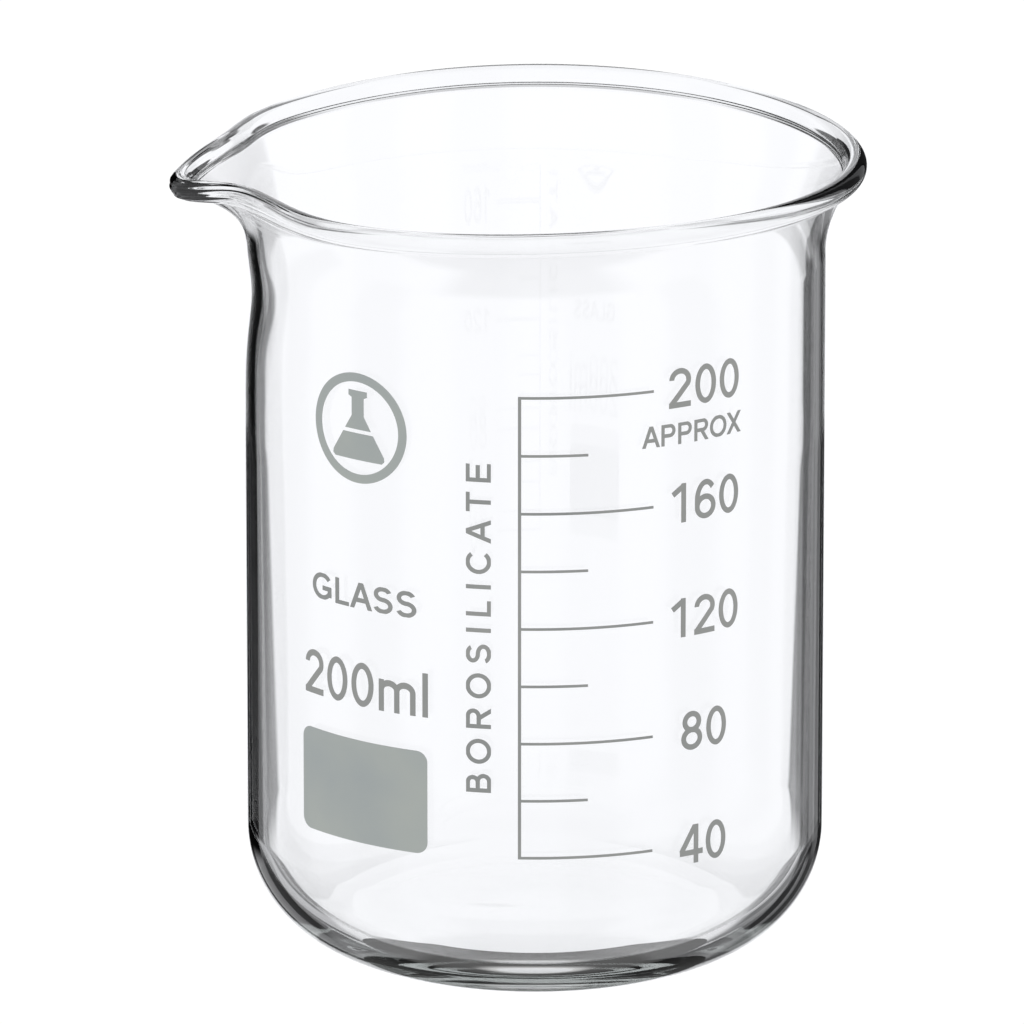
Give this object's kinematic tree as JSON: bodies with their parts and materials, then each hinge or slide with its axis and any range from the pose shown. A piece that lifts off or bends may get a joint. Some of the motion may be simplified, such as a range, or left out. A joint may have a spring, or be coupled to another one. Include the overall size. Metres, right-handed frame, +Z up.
{
  "type": "beaker",
  "caption": "Low-form clear glass laboratory beaker with beaded rim, pouring spout and a printed enamel volume scale.",
  "frame": {"origin": "centre of the flat underside of the base, on the table plane", "axes": "+Z up along the axis of the vessel; the printed scale faces -Y; the spout points to -X, turned about 1 degree toward -Y"},
  "size_m": [0.0777, 0.074, 0.0922],
  "materials": {
    "glass": "gloss",
    "enamel": "satin"
  },
  "bodies": {
    "root": {"approx_mark": "enamel", "capacity_mark": "enamel", "emblem": "enamel", "glass_class_mark": "enamel", "glass_vessel": "glass", "grad_100": "enamel", "grad_120": "enamel", "grad_140": "enamel", "grad_160": "enamel", "grad_180": "enamel", "grad_200": "enamel", "grad_40": "enamel", "grad_60": "enamel", "grad_80": "enamel", "marking_patch": "enamel", "num_120": "enamel", "num_160": "enamel", "num_200": "enamel", "num_40": "enamel", "num_80": "enamel", "scale_spine": "enamel", "side_text": "enamel"}
  },
  "joints": []
}
